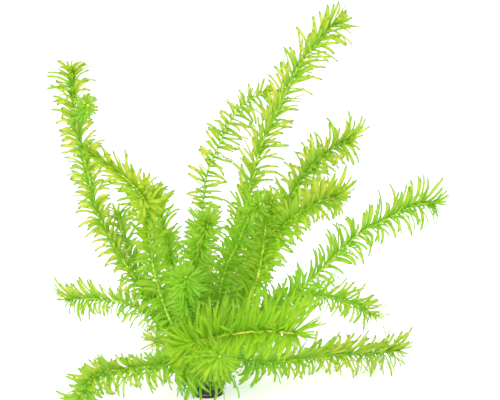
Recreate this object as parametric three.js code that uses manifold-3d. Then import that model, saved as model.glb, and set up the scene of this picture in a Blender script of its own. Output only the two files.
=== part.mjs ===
// A bunch of Brazilian waterweed in a small net pot.
// The plant is two dozen leafy shoots. Every shoot is one stem with whorls of narrow leaves,
// and its foot stands in a hole of the mineral wool plug that fills the pot.
// Millimetres. +X is right, +Y is away from the front, +Z is up.
// The origin is the centre of the pot's bottom face.

import * as THREE from "three";
import { mergeVertices } from "three/addons/utils/BufferGeometryUtils.js";
import Module from "manifold-3d";

const wasm = await Module();
wasm.setup();

// Pot: a tapered plastic cup with slots in its wall
const POT_HEIGHT = 25;
const POT_BOTTOM_RADIUS = 14;
const POT_TOP_RADIUS = 16.2;
const POT_WALL = 1.2;
const POT_RIM_RADIUS = 17.2;
const POT_RIM_THICKNESS = 1.4;
const POT_SIDES = 20;
const WALL_SLOTS = 8;
const WALL_SLOT_WIDTH = 3;
const WALL_SLOT_LOW = 7;
const WALL_SLOT_HIGH = 19;
const FOOT_SLOTS = 4;
const FOOT_SLOT_LENGTH = 10;
const FOOT_SLOT_LOW = 1.8;
const FOOT_SLOT_HIGH = 3.6;

// Wool plug, clear of the pot by the gap
const GAP = 0.3;
const WOOL_TOP = 23.6;

// Stem: a four-sided rod, thinner towards its tip
const STEM_SIDES = 4;
const STEM_RADIUS = 1.8;
const TIP_RADIUS = 1.3;
const FOOT_HEIGHT = 13;
const BEND_START = WOOL_TOP + 1;
const HOLE_RADIUS = STEM_RADIUS + GAP + 0.1;

// Leaves: four to a whorl, each whorl turned by half a step. The whorls are close together
// in the bud, and the space between them grows to the full pitch down the stem.
const WHORL_PITCH = 12.8;
const WHORL_THICKNESS = 1;
const BUD_LENGTH = 5;
const BUD_PITCH = 6;
const PITCH_GROWTH = 1.5;
const LEAFLESS_LENGTH = 9;
const SIDE_SHOOT_LEAFLESS_LENGTH = 3;

// A leaf leans little off the stem in the bud, and more on the opened stem below it
const BUD_LEAN = 24;
const OPEN_LEAN = 66;
const OPENING_LENGTH = 26;
const LEAN_CHANGE = 5;
const BUD_LEAF_SHARE = 0.45;
const FULL_LEAF_DISTANCE = 19;
const LENGTH_CHANGE = 0.08;

// Room for a leaf: it is turned or shortened until nothing is nearer than the clearance
const LEAF_CLEARANCE = 0.45;
const LEAF_HALF_WIDTH = 1.3;
const LEAF_SHARES = [1, 0.8, 0.6, 0.42];
const LEAF_TURNS = [0, -0.3, 0.3, -0.55];
const LOWEST_LEAF_TIP = 0.2;

// Shoots: the foot is the hole's place in the wool, the route is chosen by eye from the
// foot to the tip, and leaf is the length of a full-grown leaf.
const SHOOTS = [
  {
    name: "tall_left_shoot", leaf: 21, foot: [-4.8, 0],
    route: [[-11, -1, 36], [-22, -1, 50], [-35, 0, 69], [-57, 2, 96], [-74, 4, 124], [-93, 8, 160],
      [-101, 8, 198], [-109, 8, 232], [-112, 8, 262], [-113, 8, 284.5]],
  },
  {
    name: "arching_left_shoot", leaf: 23, foot: [-7.2, -4.2],
    route: [[-14, -8, 41], [-26, -12, 60], [-36, -14, 85], [-43, -14, 111], [-47, -15, 138],
      [-48, -22, 159], [-47, -42, 178], [-51, -58, 192], [-62, -68, 207], [-75, -74, 219],
      [-85, -78, 228]],
  },
  {
    name: "short_left_shoot", leaf: 17, foot: [-7.2, 4.2],
    route: [[-17, 6, 43], [-37, 11, 73], [-53, 14, 94], [-66, 15, 121], [-73, 13, 142], [-76, 10, 160]],
  },
  {
    name: "rear_left_shoot", leaf: 20, foot: [-2.4, 4.2],
    route: [[-8, 9, 41], [-21, 20, 74], [-31, 32, 110], [-39, 38, 140], [-45, 40, 164], [-48, 40, 182]],
  },
  {
    name: "slender_shoot", leaf: 16, foot: [2.4, 4.2],
    route: [[0, 9, 42], [-5, 25, 77], [-7, 40, 110], [-5, 52, 148], [-1, 60, 183], [10, 64, 209],
      [23, 66, 235], [37, 66, 249], [55, 66, 258]],
  },
  {
    name: "tall_right_shoot", leaf: 23, foot: [4.8, 0],
    route: [[6, 2, 43], [15, 8, 92], [26, 12, 135], [38, 14, 184], [46, 14, 215], [58, 14, 241],
      [68, 12, 265], [78, 10, 285], [90, 7, 302], [102, 3, 317], [114, -0.5, 326.5]],
  },
  {
    name: "upper_right_shoot", leaf: 22, foot: [7.2, 4.2],
    route: [[11, 7, 42], [27, 14, 81], [44, 18, 114], [59, 20, 142], [72, 20, 169], [83, 18, 190],
      [97, 15, 206], [115, 12, 220.5], [131, 9, 228.5]],
  },
  {
    name: "middle_right_shoot", leaf: 23, foot: [7.2, -4.2],
    route: [[13, -5, 46], [32, -11, 90], [48, -17, 126], [61, -24, 152], [74, -31, 166],
      [92, -38, 180], [106, -43, 186], [119, -49.5, 189]],
  },
  {
    name: "right_shoot", leaf: 23, foot: [9.6, 0],
    route: [[18, 1, 42], [38, 4, 61], [63, 8, 78], [83, 10, 93], [101, 12, 110], [122, 12, 132],
      [137, 12, 144], [154, 10, 154], [174, 8, 165], [188, 6.5, 170], [201, 4.5, 171.5]],
  },
  {
    name: "centre_shoot", leaf: 20, foot: [2.4, -4.2],
    route: [[7, -9, 43], [17, -17, 67], [31, -23, 85], [43, -25, 109], [49, -25, 141],
      [52, -27, 166], [56, -34, 183]],
  },
  {
    name: "inner_centre_shoot", leaf: 19, foot: [0, 0],
    route: [[2, -3, 46], [9, -10, 84], [17, -16, 118], [27, -22, 141], [36, -30, 164], [46, -42, 180]],
  },
  {
    name: "centre_left_shoot", leaf: 23, foot: [-2.4, -4.2],
    route: [[-4, -8, 44], [-8, -18, 90], [-8, -26, 125], [-1, -36, 149], [8, -55, 165]],
  },
  {
    name: "short_front_shoot", leaf: 20, foot: [0, -8.3],
    route: [[-6, -14, 43], [-13, -30, 75], [-16, -44, 103], [-15, -64, 124]],
  },
  {
    name: "left_shoot", leaf: 20, foot: [-9.6, 0],
    route: [[-17, 3, 36], [-26, 6, 50], [-41, 8, 63], [-58, 10, 73], [-75, 10, 80], [-93, 8, 83],
      [-108, 6, 84], [-121.5, 4.5, 84]],
  },
  {
    name: "floor_left_shoot", leaf: 20, foot: [-9.3, -8],
    route: [[-12, -10, 30], [-18, -14, 33], [-30, -23, 35], [-47, -38, 38], [-67, -54, 41],
      [-83, -67, 43], [-93, -80, 41], [-98, -90, 33], [-101, -99, 21], [-104, -109, 9]],
  },
  {
    name: "floor_right_shoot", leaf: 20, foot: [9.3, 8],
    route: [[12, 9, 29], [18, 11, 30], [28, 15, 26], [42, 20, 21], [77, 33, 20], [102, 41, 20],
      [124, 47, 19], [145, 53, 18], [162, 58, 18], [174, 61, 19]],
  },
  {
    name: "drooping_right_shoot", leaf: 18, foot: [11.4, 4],
    route: [[17, 6, 35], [28, 9, 51], [48, 14, 69], [68, 19, 78], [90, 23, 81], [113, 27, 79],
      [131, 29, 73], [145.5, 30, 63]],
  },
  {
    name: "front_shoot", leaf: 26, foot: [-4.8, -8.3],
    route: [[-10, -16, 33], [-14, -25, 45], [-14, -36, 56], [-6, -46, 63], [9, -54, 69],
      [26, -60, 74], [47, -68, 79], [66, -75, 80], [83, -81, 80]],
  },
  {
    name: "front_tip_shoot", leaf: 22, foot: [4.8, -8.3],
    route: [[5, -19, 31], [5, -34, 41], [5, -54, 50], [5, -79, 57]],
  },
  {
    name: "back_left_shoot", leaf: 19, foot: [-4.8, 8.3],
    route: [[-13, 20, 42], [-28, 48, 66], [-38, 84, 88], [-44, 114, 108]],
  },
  {
    name: "back_right_shoot", leaf: 20, foot: [4.8, 8.3],
    route: [[9, 20, 44], [24, 52, 74], [38, 92, 100], [44, 124, 124]],
  },
  {
    name: "back_shoot", leaf: 20, foot: [0, 8.3],
    route: [[-1, 22, 36], [-3, 56, 52], [-4, 96, 62], [-1, 134, 75]],
  },
  {
    name: "floor_back_shoot", leaf: 18, foot: [-2.2, 11.6],
    route: [[-4, 15, 30], [-12, 25, 31], [-24, 49, 26], [-37, 82, 18], [-54, 112, 11]],
  },
];

// The side shoot grows from the tall left stem: its route starts just off that stem.
const SIDE_SHOOT = {
  name: "side_shoot", leaf: 14,
  route: [[-108, 5, 240], [-105, -1, 245], [-101, -9, 250], [-96, -20, 258]],
};

const LEAF_GREEN = 0x8cc832;
const LEAF_DARK_GREEN = 0x5fae3c;
const POT_BLACK = 0x1d211c;
const WOOL_TAN = 0x9c8458;

// A closed solid of the joining and cutting library from a three.js geometry
function solidOf(geometry) {
  const plain = geometry.clone();
  plain.deleteAttribute("normal");
  plain.deleteAttribute("uv");
  const merged = mergeVertices(plain, 1e-4);
  return new wasm.Manifold(new wasm.Mesh({
    numProp: 3,
    vertProperties: new Float32Array(merged.attributes.position.array),
    triVerts: new Uint32Array(merged.index.array),
  }));
}

// The way back, from the solid to a three.js geometry
function geometryOf(solid) {
  const mesh = solid.getMesh();
  const geometry = new THREE.BufferGeometry();
  geometry.setAttribute("position", new THREE.BufferAttribute(new Float32Array(mesh.vertProperties), 3));
  geometry.setIndex(new THREE.BufferAttribute(new Uint32Array(mesh.triVerts), 1));
  return geometry;
}

// A turned solid about the Z axis from its half outline, listed from the bottom upwards
function turned(outline, sides) {
  const points = outline.map(([radius, height]) => new THREE.Vector2(radius, height));
  return new THREE.LatheGeometry(points, sides).rotateX(Math.PI / 2);
}

function potRadiusAt(height) {
  return POT_BOTTOM_RADIUS + (POT_TOP_RADIUS - POT_BOTTOM_RADIUS) * (height / POT_HEIGHT);
}

// A block through the pot's wall at the given angle, to cut a slot
function slotCutter(angle, width, low, high) {
  const depth = 3 * POT_WALL;
  const middle = (low + high) / 2;
  const block = new THREE.BoxGeometry(depth, width, high - low);
  block.translate(potRadiusAt(middle) - POT_WALL / 2, 0, middle);
  block.rotateZ(angle);
  return solidOf(block);
}

function potGeometry() {
  const rimBottom = POT_HEIGHT - POT_RIM_THICKNESS;
  const outline = [
    [0, 0],
    [POT_BOTTOM_RADIUS, 0],
    [potRadiusAt(rimBottom), rimBottom],
    [POT_RIM_RADIUS, rimBottom],
    [POT_RIM_RADIUS, POT_HEIGHT],
    [POT_TOP_RADIUS - POT_WALL, POT_HEIGHT],
    [potRadiusAt(POT_WALL) - POT_WALL, POT_WALL],
    [0, POT_WALL],
  ];
  let cup = solidOf(turned(outline, POT_SIDES));
  for (let i = 0; i < WALL_SLOTS; i++) {
    const angle = (2 * Math.PI * (i + 0.5)) / WALL_SLOTS;
    cup = cup.subtract(slotCutter(angle, WALL_SLOT_WIDTH, WALL_SLOT_LOW, WALL_SLOT_HIGH));
  }
  for (let i = 0; i < FOOT_SLOTS; i++) {
    const angle = (2 * Math.PI * i) / FOOT_SLOTS;
    cup = cup.subtract(slotCutter(angle, FOOT_SLOT_LENGTH, FOOT_SLOT_LOW, FOOT_SLOT_HIGH));
  }
  return geometryOf(cup);
}

function woolGeometry() {
  const bottom = POT_WALL + GAP;
  const outline = [
    [0, bottom],
    [potRadiusAt(bottom) - POT_WALL - GAP, bottom],
    [potRadiusAt(WOOL_TOP) - POT_WALL - GAP, WOOL_TOP],
    [0, WOOL_TOP],
  ];
  let plug = solidOf(turned(outline, POT_SIDES));
  const depth = WOOL_TOP - FOOT_HEIGHT + GAP;
  for (const shoot of SHOOTS) {
    const hole = new THREE.CylinderGeometry(HOLE_RADIUS, HOLE_RADIUS, depth + 1, STEM_SIDES);
    hole.rotateX(Math.PI / 2);
    hole.translate(shoot.foot[0], shoot.foot[1], FOOT_HEIGHT - GAP + (depth + 1) / 2);
    plug = plug.subtract(solidOf(hole));
  }
  return geometryOf(plug);
}

// Nearest approach of two tapered rods {a, b, ra, rb}: the space left between them
function spaceBetween(p, q) {
  const d1 = p.b.clone().sub(p.a);
  const d2 = q.b.clone().sub(q.a);
  const r = p.a.clone().sub(q.a);
  const a = d1.dot(d1);
  const e = d2.dot(d2);
  const f = d2.dot(r);
  const c = d1.dot(r);
  const b = d1.dot(d2);
  const denominator = a * e - b * b;
  let s = denominator > 1e-9 ? THREE.MathUtils.clamp((b * f - c * e) / denominator, 0, 1) : 0;
  let t = (b * s + f) / e;
  if (t < 0 || t > 1) {
    t = THREE.MathUtils.clamp(t, 0, 1);
    s = THREE.MathUtils.clamp((b * t - c) / a, 0, 1);
  }
  const onP = p.a.clone().addScaledVector(d1, s);
  const onQ = q.a.clone().addScaledVector(d2, t);
  const radii = p.ra + (p.rb - p.ra) * s + q.ra + (q.rb - q.ra) * t;
  return onP.distanceTo(onQ) - radii;
}

// The stations along one stem, from the foot to the tip. A station is the middle of a whorl
// or a plain ring; each has its place, the stem's direction, and two directions across it.
// The foot is upright in the wool and the stem starts to bend just above it.
function stations(shoot) {
  const points = shoot.route.map((p) => new THREE.Vector3(...p));
  if (shoot.foot) points.unshift(new THREE.Vector3(...shoot.foot, BEND_START));
  const curve = new THREE.CatmullRomCurve3(points, false, "centripetal");
  curve.arcLengthDivisions = 400;
  const length = curve.getLength();
  const leafless = shoot.foot ? LEAFLESS_LENGTH : SIDE_SHOOT_LEAFLESS_LENGTH;
  const list = [];
  let fromTip = BUD_LENGTH;
  let step = BUD_PITCH;
  while (length - fromTip > leafless) {
    list.unshift({ at: length - fromTip, whorl: true, fromTip });
    fromTip += step;
    step = Math.min(WHORL_PITCH, step * PITCH_GROWTH);
  }
  list.unshift({ at: 0, whorl: false, fromTip: length });
  for (const station of list) {
    station.place = curve.getPointAt(station.at / length);
    station.along = curve.getTangentAt(station.at / length);
    station.radius = STEM_RADIUS + (TIP_RADIUS - STEM_RADIUS) * (station.at / length);
  }
  if (shoot.foot) {
    const up = new THREE.Vector3(0, 0, 1);
    const foot = new THREE.Vector3(...shoot.foot, FOOT_HEIGHT);
    list[0].along = up;
    list.unshift({ whorl: false, fromTip: length, place: foot, along: up, radius: STEM_RADIUS });
  }
  let across = new THREE.Vector3(1, 0, 0);
  for (const station of list) {
    across = across.clone().addScaledVector(station.along, -across.dot(station.along)).normalize();
    station.across = across;
    station.aside = station.along.clone().cross(across);
  }
  list.tip = curve.getPointAt(1);
  return list;
}

// Direction of a leaf round the stem
function outward(station, angle) {
  return station.across.clone().multiplyScalar(Math.cos(angle))
    .addScaledVector(station.aside, Math.sin(angle));
}

// The angle between leaf and stem, with a small change from leaf to leaf
function leafLean(fromTip, index) {
  const opened = THREE.MathUtils.clamp((fromTip - BUD_LENGTH) / OPENING_LENGTH, 0, 1);
  const change = LEAN_CHANGE * Math.sin(2.4 * index);
  return THREE.MathUtils.degToRad(BUD_LEAN + (OPEN_LEAN - BUD_LEAN) * opened + change);
}

function leafLength(shoot, fromTip, index) {
  const grown = Math.min(1, BUD_LEAF_SHARE + ((1 - BUD_LEAF_SHARE) * fromTip) / FULL_LEAF_DISTANCE);
  return shoot.leaf * grown * (1 + LENGTH_CHANGE * Math.sin(1.7 * index));
}

// Rods that stand for what is already there, so that no leaf runs through it
const rods = [];

function addStemRods(name, list) {
  for (let i = 0; i < list.length; i++) {
    const next = i + 1 < list.length ? list[i + 1].place : list.tip;
    rods.push({ owner: name, order: i, a: list[i].place, b: next, ra: STEM_RADIUS, rb: STEM_RADIUS });
  }
}

// Whether a rod passes too near the pot or the wool
function touchesPot(rod) {
  return [0.05, 0.15, 0.25, 0.5, 0.75, 1].some((share) => {
    const point = rod.a.clone().lerp(rod.b, share);
    const outside = Math.hypot(point.x, point.y) - POT_RIM_RADIUS;
    return outside < LEAF_HALF_WIDTH && point.z < POT_HEIGHT + LEAF_HALF_WIDTH;
  });
}

// A leaf may be as near as it likes to its own whorl and to the stem just beside it
function isClear(rod) {
  if (touchesPot(rod)) return false;
  return rods.every((other) => {
    const away = Math.abs(other.order - rod.order);
    if (other.owner === rod.owner && (other.leaf ? away < 1 : away < 2)) return true;
    return spaceBetween(rod, other) >= LEAF_CLEARANCE;
  });
}

// The tip of the leaf at this angle, or null where no leaf has room
function leafTip(shoot, station, order, index, angle) {
  const full = leafLength(shoot, station.fromTip, order + index);
  const lean = leafLean(station.fromTip, order + index);
  const out = outward(station, angle);
  const root = station.place.clone().addScaledVector(out, station.radius);
  for (const share of LEAF_SHARES) {
    for (const turn of LEAF_TURNS) {
      const tip = root.clone()
        .addScaledVector(station.along, full * share * Math.cos(lean + turn))
        .addScaledVector(out, full * share * Math.sin(lean + turn));
      tip.z = Math.max(tip.z, LOWEST_LEAF_TIP);
      const rod = { owner: shoot.name, order, leaf: true, a: root, b: tip, ra: LEAF_HALF_WIDTH, rb: 0 };
      if (isClear(rod)) {
        rods.push(rod);
        return tip;
      }
    }
  }
  return null;
}

// One closed mesh: a stem of square rings, with a slim pyramid for each leaf
function shootGeometry(shoot, list) {
  const positions = [];
  const triangles = [];
  const vertex = (point) => positions.push(point.x, point.y, point.z) / 3 - 1;
  const ring = (station, shift, turn) => {
    const centre = station.place.clone().addScaledVector(station.along, shift);
    return Array.from({ length: STEM_SIDES }, (_, i) => {
      const angle = turn + (2 * Math.PI * i) / STEM_SIDES;
      return vertex(centre.clone().addScaledVector(outward(station, angle), station.radius));
    });
  };
  const face = (a, b, c, d) => triangles.push([a, b, c], [a, c, d]);
  let last = null;
  list.forEach((station, order) => {
    const turn = station.whorl ? (order % 2) * (Math.PI / STEM_SIDES) : 0;
    const half = station.whorl ? WHORL_THICKNESS / 2 : 0;
    const lower = ring(station, -half, turn);
    if (last) {
      for (let i = 0; i < STEM_SIDES; i++) {
        const j = (i + 1) % STEM_SIDES;
        face(last[i], last[j], lower[j], lower[i]);
      }
    } else {
      face(lower[0], lower[3], lower[2], lower[1]);
    }
    last = lower;
    if (!station.whorl) return;
    const upper = ring(station, half, turn);
    for (let i = 0; i < STEM_SIDES; i++) {
      const j = (i + 1) % STEM_SIDES;
      const angle = turn + (2 * Math.PI * (i + 0.5)) / STEM_SIDES;
      const tip = leafTip(shoot, station, order, i, angle);
      if (tip) {
        const top = vertex(tip);
        const edge = [lower[i], lower[j], upper[j], upper[i]];
        edge.forEach((corner, k) => triangles.push([corner, edge[(k + 1) % 4], top]));
      } else {
        face(lower[i], lower[j], upper[j], upper[i]);
      }
    }
    last = upper;
  });
  const top = vertex(list.tip);
  for (let i = 0; i < STEM_SIDES; i++) {
    triangles.push([last[i], last[(i + 1) % STEM_SIDES], top]);
  }
  const geometry = new THREE.BufferGeometry();
  geometry.setAttribute("position", new THREE.Float32BufferAttribute(positions, 3));
  geometry.setIndex(triangles.flat());
  return geometry;
}

function named(name, geometry, material) {
  const mesh = new THREE.Mesh(geometry, material);
  mesh.name = name;
  return mesh;
}

const plant = new THREE.Group();

const potMaterial = new THREE.MeshStandardMaterial({ color: POT_BLACK, roughness: 0.5, metalness: 0 });
const woolMaterial = new THREE.MeshStandardMaterial({ color: WOOL_TAN, roughness: 1, metalness: 0 });
const leafMaterials = [LEAF_GREEN, LEAF_DARK_GREEN].map(
  (color) => new THREE.MeshStandardMaterial({ color, roughness: 0.45, metalness: 0 }),
);

plant.add(named("pot", potGeometry(), potMaterial));
plant.add(named("wool_plug", woolGeometry(), woolMaterial));

const everyShoot = [...SHOOTS, SIDE_SHOOT];
const everyList = everyShoot.map(stations);
everyShoot.forEach((shoot, i) => addStemRods(shoot.name, everyList[i]));
everyShoot.forEach((shoot, i) => {
  plant.add(named(shoot.name, shootGeometry(shoot, everyList[i]), leafMaterials[i % 2]));
});

export default plant;
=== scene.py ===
# A bunch of Brazilian waterweed: two dozen leafy shoots in a small net pot.
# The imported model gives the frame: +X to the right, +Y away from the camera, +Z up, metres.
import math

import bmesh
import bpy
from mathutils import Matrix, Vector, noise


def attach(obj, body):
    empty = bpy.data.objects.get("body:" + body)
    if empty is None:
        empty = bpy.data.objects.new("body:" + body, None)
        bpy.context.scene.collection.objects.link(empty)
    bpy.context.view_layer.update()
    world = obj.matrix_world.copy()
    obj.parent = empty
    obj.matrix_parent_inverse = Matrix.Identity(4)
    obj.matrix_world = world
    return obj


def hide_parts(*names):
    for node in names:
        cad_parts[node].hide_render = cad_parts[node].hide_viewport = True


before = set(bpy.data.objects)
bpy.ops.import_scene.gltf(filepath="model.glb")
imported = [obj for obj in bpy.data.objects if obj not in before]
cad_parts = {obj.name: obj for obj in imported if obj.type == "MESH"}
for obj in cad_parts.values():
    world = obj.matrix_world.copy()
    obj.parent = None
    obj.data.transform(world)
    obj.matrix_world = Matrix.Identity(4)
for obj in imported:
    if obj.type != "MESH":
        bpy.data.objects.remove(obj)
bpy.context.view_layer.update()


# The camera
# The photo's view, through a long lens from a little above the plant. The picture is 500 pixels
# wide, and one pixel of it covers 0.85 mm at the plant.
VIEW_CENTRE = Vector((0.0375, 0, 0.1735))
VIEW_DISTANCE = 1.2
VIEW_ELEVATION = math.radians(12.7)
PICTURE_PIXELS = 500
PIXEL_SIZE = 0.00085
SENSOR_WIDTH = 36

camera = bpy.data.objects.new("portrait_camera", bpy.data.cameras.new("portrait_camera"))
camera.data.sensor_width = SENSOR_WIDTH
camera.data.lens = SENSOR_WIDTH * VIEW_DISTANCE / (PICTURE_PIXELS * PIXEL_SIZE)
towards_camera = Vector((0, -math.cos(VIEW_ELEVATION), math.sin(VIEW_ELEVATION)))
camera.location = VIEW_CENTRE + VIEW_DISTANCE * towards_camera
camera.rotation_euler = (math.pi / 2 - VIEW_ELEVATION, 0, 0)
bpy.context.scene.collection.objects.link(camera)
bpy.context.scene.camera = camera


# The studio
# A wide sheet of white paper under a warm white light from all round, with a soft lamp in front and
# one behind, so that light also comes through the leaves. The paper is slightly blue and glows a
# little, so that it comes out white. The picture's gamma lightens the middle tones.
FLOOR_RADIUS = 9
FLOOR_SIDES = 96
PAPER_WHITE = (0.82, 0.91, 0.93, 1)
PAPER_GLOW = 0.42
LAMP_COLOUR = (1, 0.88, 0.8)
SKY_COLOUR = (1, 0.84, 0.82, 1)
SKY_STRENGTH = 1.22
PICTURE_GAMMA = 1.25


def add_node(tree, kind, inputs=None, **settings):
    """Adds a node, and feeds its inputs, by name or number, with other nodes' sockets or plain values."""
    node = tree.nodes.new(kind)
    for name, value in settings.items():
        setattr(node, name, value)
    for key, value in (inputs or {}).items():
        if isinstance(value, bpy.types.NodeSocket):
            tree.links.new(value, node.inputs[key])
        else:
            node.inputs[key].default_value = value
    return node


def new_material(name):
    """A material without nodes, and its tree."""
    material = bpy.data.materials.new(name)
    material.use_nodes = True
    material.node_tree.nodes.clear()
    return material, material.node_tree


def grainy_shader(tree, colour, roughness, gloss, height, strength, depth):
    """A shader whose surface follows height, with a bump of this strength and depth in metres."""
    bump = add_node(tree, "ShaderNodeBump", {"Height": height, "Strength": strength, "Distance": depth})
    return add_node(tree, "ShaderNodeBsdfPrincipled", {
        "Base Color": colour, "Roughness": roughness, "Specular IOR Level": gloss,
        "Normal": bump.outputs["Normal"]})


def show(tree, shader):
    """Ends a material's tree with the shader."""
    add_node(tree, "ShaderNodeOutputMaterial", {"Surface": shader.outputs[0]})


def paper_material():
    """Matt paper with a very fine grain."""
    material, tree = new_material("white_paper")
    place = add_node(tree, "ShaderNodeTexCoord").outputs["Object"]
    grain = add_node(tree, "ShaderNodeTexNoise", {"Vector": place, "Scale": 900, "Detail": 4})
    shader = grainy_shader(tree, PAPER_WHITE, roughness=0.9, gloss=0.1,
                           height=grain.outputs["Fac"], strength=0.03, depth=0.0002)
    shader.inputs["Emission Color"].default_value = (1, 1, 1, 1)
    shader.inputs["Emission Strength"].default_value = PAPER_GLOW
    show(tree, shader)
    return material


def add_lamp(name, place, size, power):
    """A soft square lamp that shines at the plant."""
    lamp = bpy.data.objects.new(name, bpy.data.lights.new(name, "AREA"))
    lamp.data.size = size
    lamp.data.energy = power
    lamp.data.color = LAMP_COLOUR
    lamp.location = place
    lamp.rotation_euler = (VIEW_CENTRE - Vector(place)).to_track_quat("-Z", "Y").to_euler()
    bpy.context.scene.collection.objects.link(lamp)


paper_mesh = bpy.data.meshes.new("paper_floor")
paper_form = bmesh.new()
bmesh.ops.create_circle(paper_form, cap_ends=True, segments=FLOOR_SIDES, radius=FLOOR_RADIUS)
paper_form.to_mesh(paper_mesh)
paper_form.free()
paper_mesh.materials.append(paper_material())
paper = bpy.data.objects.new("paper_floor", paper_mesh)
bpy.context.scene.collection.objects.link(paper)

add_lamp("front_lamp", place=(-0.25, -1.5, 0.9), size=1.6, power=30)
add_lamp("back_lamp", place=(0.6, 1.2, 1.4), size=1.4, power=8)

world = bpy.data.worlds.new("white_studio")
world.use_nodes = True
world.node_tree.nodes["Background"].inputs["Color"].default_value = SKY_COLOUR
world.node_tree.nodes["Background"].inputs["Strength"].default_value = SKY_STRENGTH
bpy.context.scene.world = world
bpy.context.scene.view_settings.view_transform = "Standard"
bpy.context.scene.view_settings.gamma = PICTURE_GAMMA


# The net pot
# A small tapered cup of black plastic, moulded in one piece, with upright slots in its wall and
# four short slots at its foot. It is open above, with a narrow rim turned outwards.
MM = 0.001
POT_HEIGHT = 25 * MM
POT_FOOT_RADIUS = 14 * MM
POT_TOP_RADIUS = 16.2 * MM
POT_WALL = 1.2 * MM
POT_FLOOR_RING = 0.6 * (POT_FOOT_RADIUS - POT_WALL)
POT_RIM_RADIUS = 17.2 * MM
POT_RIM_THICKNESS = 1.4 * MM
RIM_UNDERSIDE_RADIUS = POT_RIM_RADIUS - 0.25 * MM
RIM_CROWN_RADIUS = POT_RIM_RADIUS - 0.3 * MM
WALL_SLOTS = 8
WALL_SLOT_WIDTH = 3 * MM
WALL_SLOT_HEIGHTS = (7 * MM, 19 * MM)
FOOT_SLOTS = 4
FOOT_SLOT_LENGTH = 10 * MM
FOOT_SLOT_HEIGHTS = (1.8 * MM, 3.6 * MM)
POT_STEPS = 192
POT_WALL_ROWS = (0, 0.9 * MM, *FOOT_SLOT_HEIGHTS, 5 * MM, WALL_SLOT_HEIGHTS[0], 10 * MM, 13 * MM, 16 * MM,
                 WALL_SLOT_HEIGHTS[1], 21 * MM, POT_HEIGHT - POT_RIM_THICKNESS)
SOFT_EDGE_WIDTH = 0.12 * MM
SOFT_EDGE_LEAST_ANGLE = math.radians(50)
POT_BLACK = (0.004, 0.006, 0.004, 1)
POT_GREY = (0.016, 0.02, 0.012, 1)


def pot_radius(height):
    """The outer radius of the pot's wall at a height."""
    return POT_FOOT_RADIUS + (POT_TOP_RADIUS - POT_FOOT_RADIUS) * height / POT_HEIGHT


def in_slot(angle, height):
    """Whether a point of the pot's wall lies in one of the slots."""
    def distance_to_slot(count, first):
        """The distance along the wall to the nearest of count slots. The first one is first steps round."""
        step = 2 * math.pi / count
        away = (angle - first * step + step / 2) % step - step / 2
        return abs(away) * pot_radius(height)
    in_wall_slot = distance_to_slot(WALL_SLOTS, 0.5) < WALL_SLOT_WIDTH / 2
    in_foot_slot = distance_to_slot(FOOT_SLOTS, 0) < FOOT_SLOT_LENGTH / 2
    return (in_wall_slot and WALL_SLOT_HEIGHTS[0] < height < WALL_SLOT_HEIGHTS[1]
            or in_foot_slot and FOOT_SLOT_HEIGHTS[0] < height < FOOT_SLOT_HEIGHTS[1])


def ring_of(form, radius, height, steps):
    """A level ring of points around the pot's axis."""
    ring = []
    for i in range(steps):
        angle = 2 * math.pi * i / steps
        ring.append(form.verts.new((radius * math.cos(angle), radius * math.sin(angle), height)))
    return ring


def add_band(form, lower, upper):
    """A closed band of faces from one ring to the next."""
    for i in range(len(lower)):
        j = (i + 1) % len(lower)
        form.faces.new((lower[i], lower[j], upper[j], upper[i]))


def object_from(form, name, material):
    """A new object at the origin with the mesh that form holds, shaded smooth."""
    bmesh.ops.recalc_face_normals(form, faces=form.faces)
    for face in form.faces:
        face.smooth = True
    mesh = bpy.data.meshes.new(name)
    form.to_mesh(mesh)
    form.free()
    mesh.materials.append(material)
    made = bpy.data.objects.new(name, mesh)
    bpy.context.scene.collection.objects.link(made)
    return made


def in_range(tree, value, start, end, low=0, high=1, **settings):
    """Low where value is at start and high where it is at end, with the values between them between."""
    return add_node(tree, "ShaderNodeMapRange", {
        "Value": value, "From Min": start, "From Max": end, "To Min": low, "To Max": high},
        **settings).outputs[0]


def mixed(tree, share, first, second):
    """The first colour where share is 0, and the second where it is 1."""
    return add_node(tree, "ShaderNodeMix", {0: share, 6: first, 7: second}, data_type="RGBA").outputs[2]


def pot_material():
    """Dull black plastic with a fine moulded grain, a little dust in patches and dried water marks."""
    material, tree = new_material("black_plastic")
    place = add_node(tree, "ShaderNodeTexCoord").outputs["Object"]
    patches = add_node(tree, "ShaderNodeTexNoise", {
        "Vector": place, "Scale": 160, "Detail": 6, "Roughness": 0.65})
    marks = in_range(tree, patches.outputs["Fac"], 0.46, 0.7)
    grain = add_node(tree, "ShaderNodeTexNoise", {"Vector": place, "Scale": 2600, "Detail": 2})
    show(tree, grainy_shader(
        tree, mixed(tree, marks, POT_BLACK, POT_GREY), roughness=in_range(tree, marks, 0, 1, 0.45, 0.7),
        gloss=0.25, height=grain.outputs["Fac"], strength=0.25, depth=0.00008))
    return material


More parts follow.
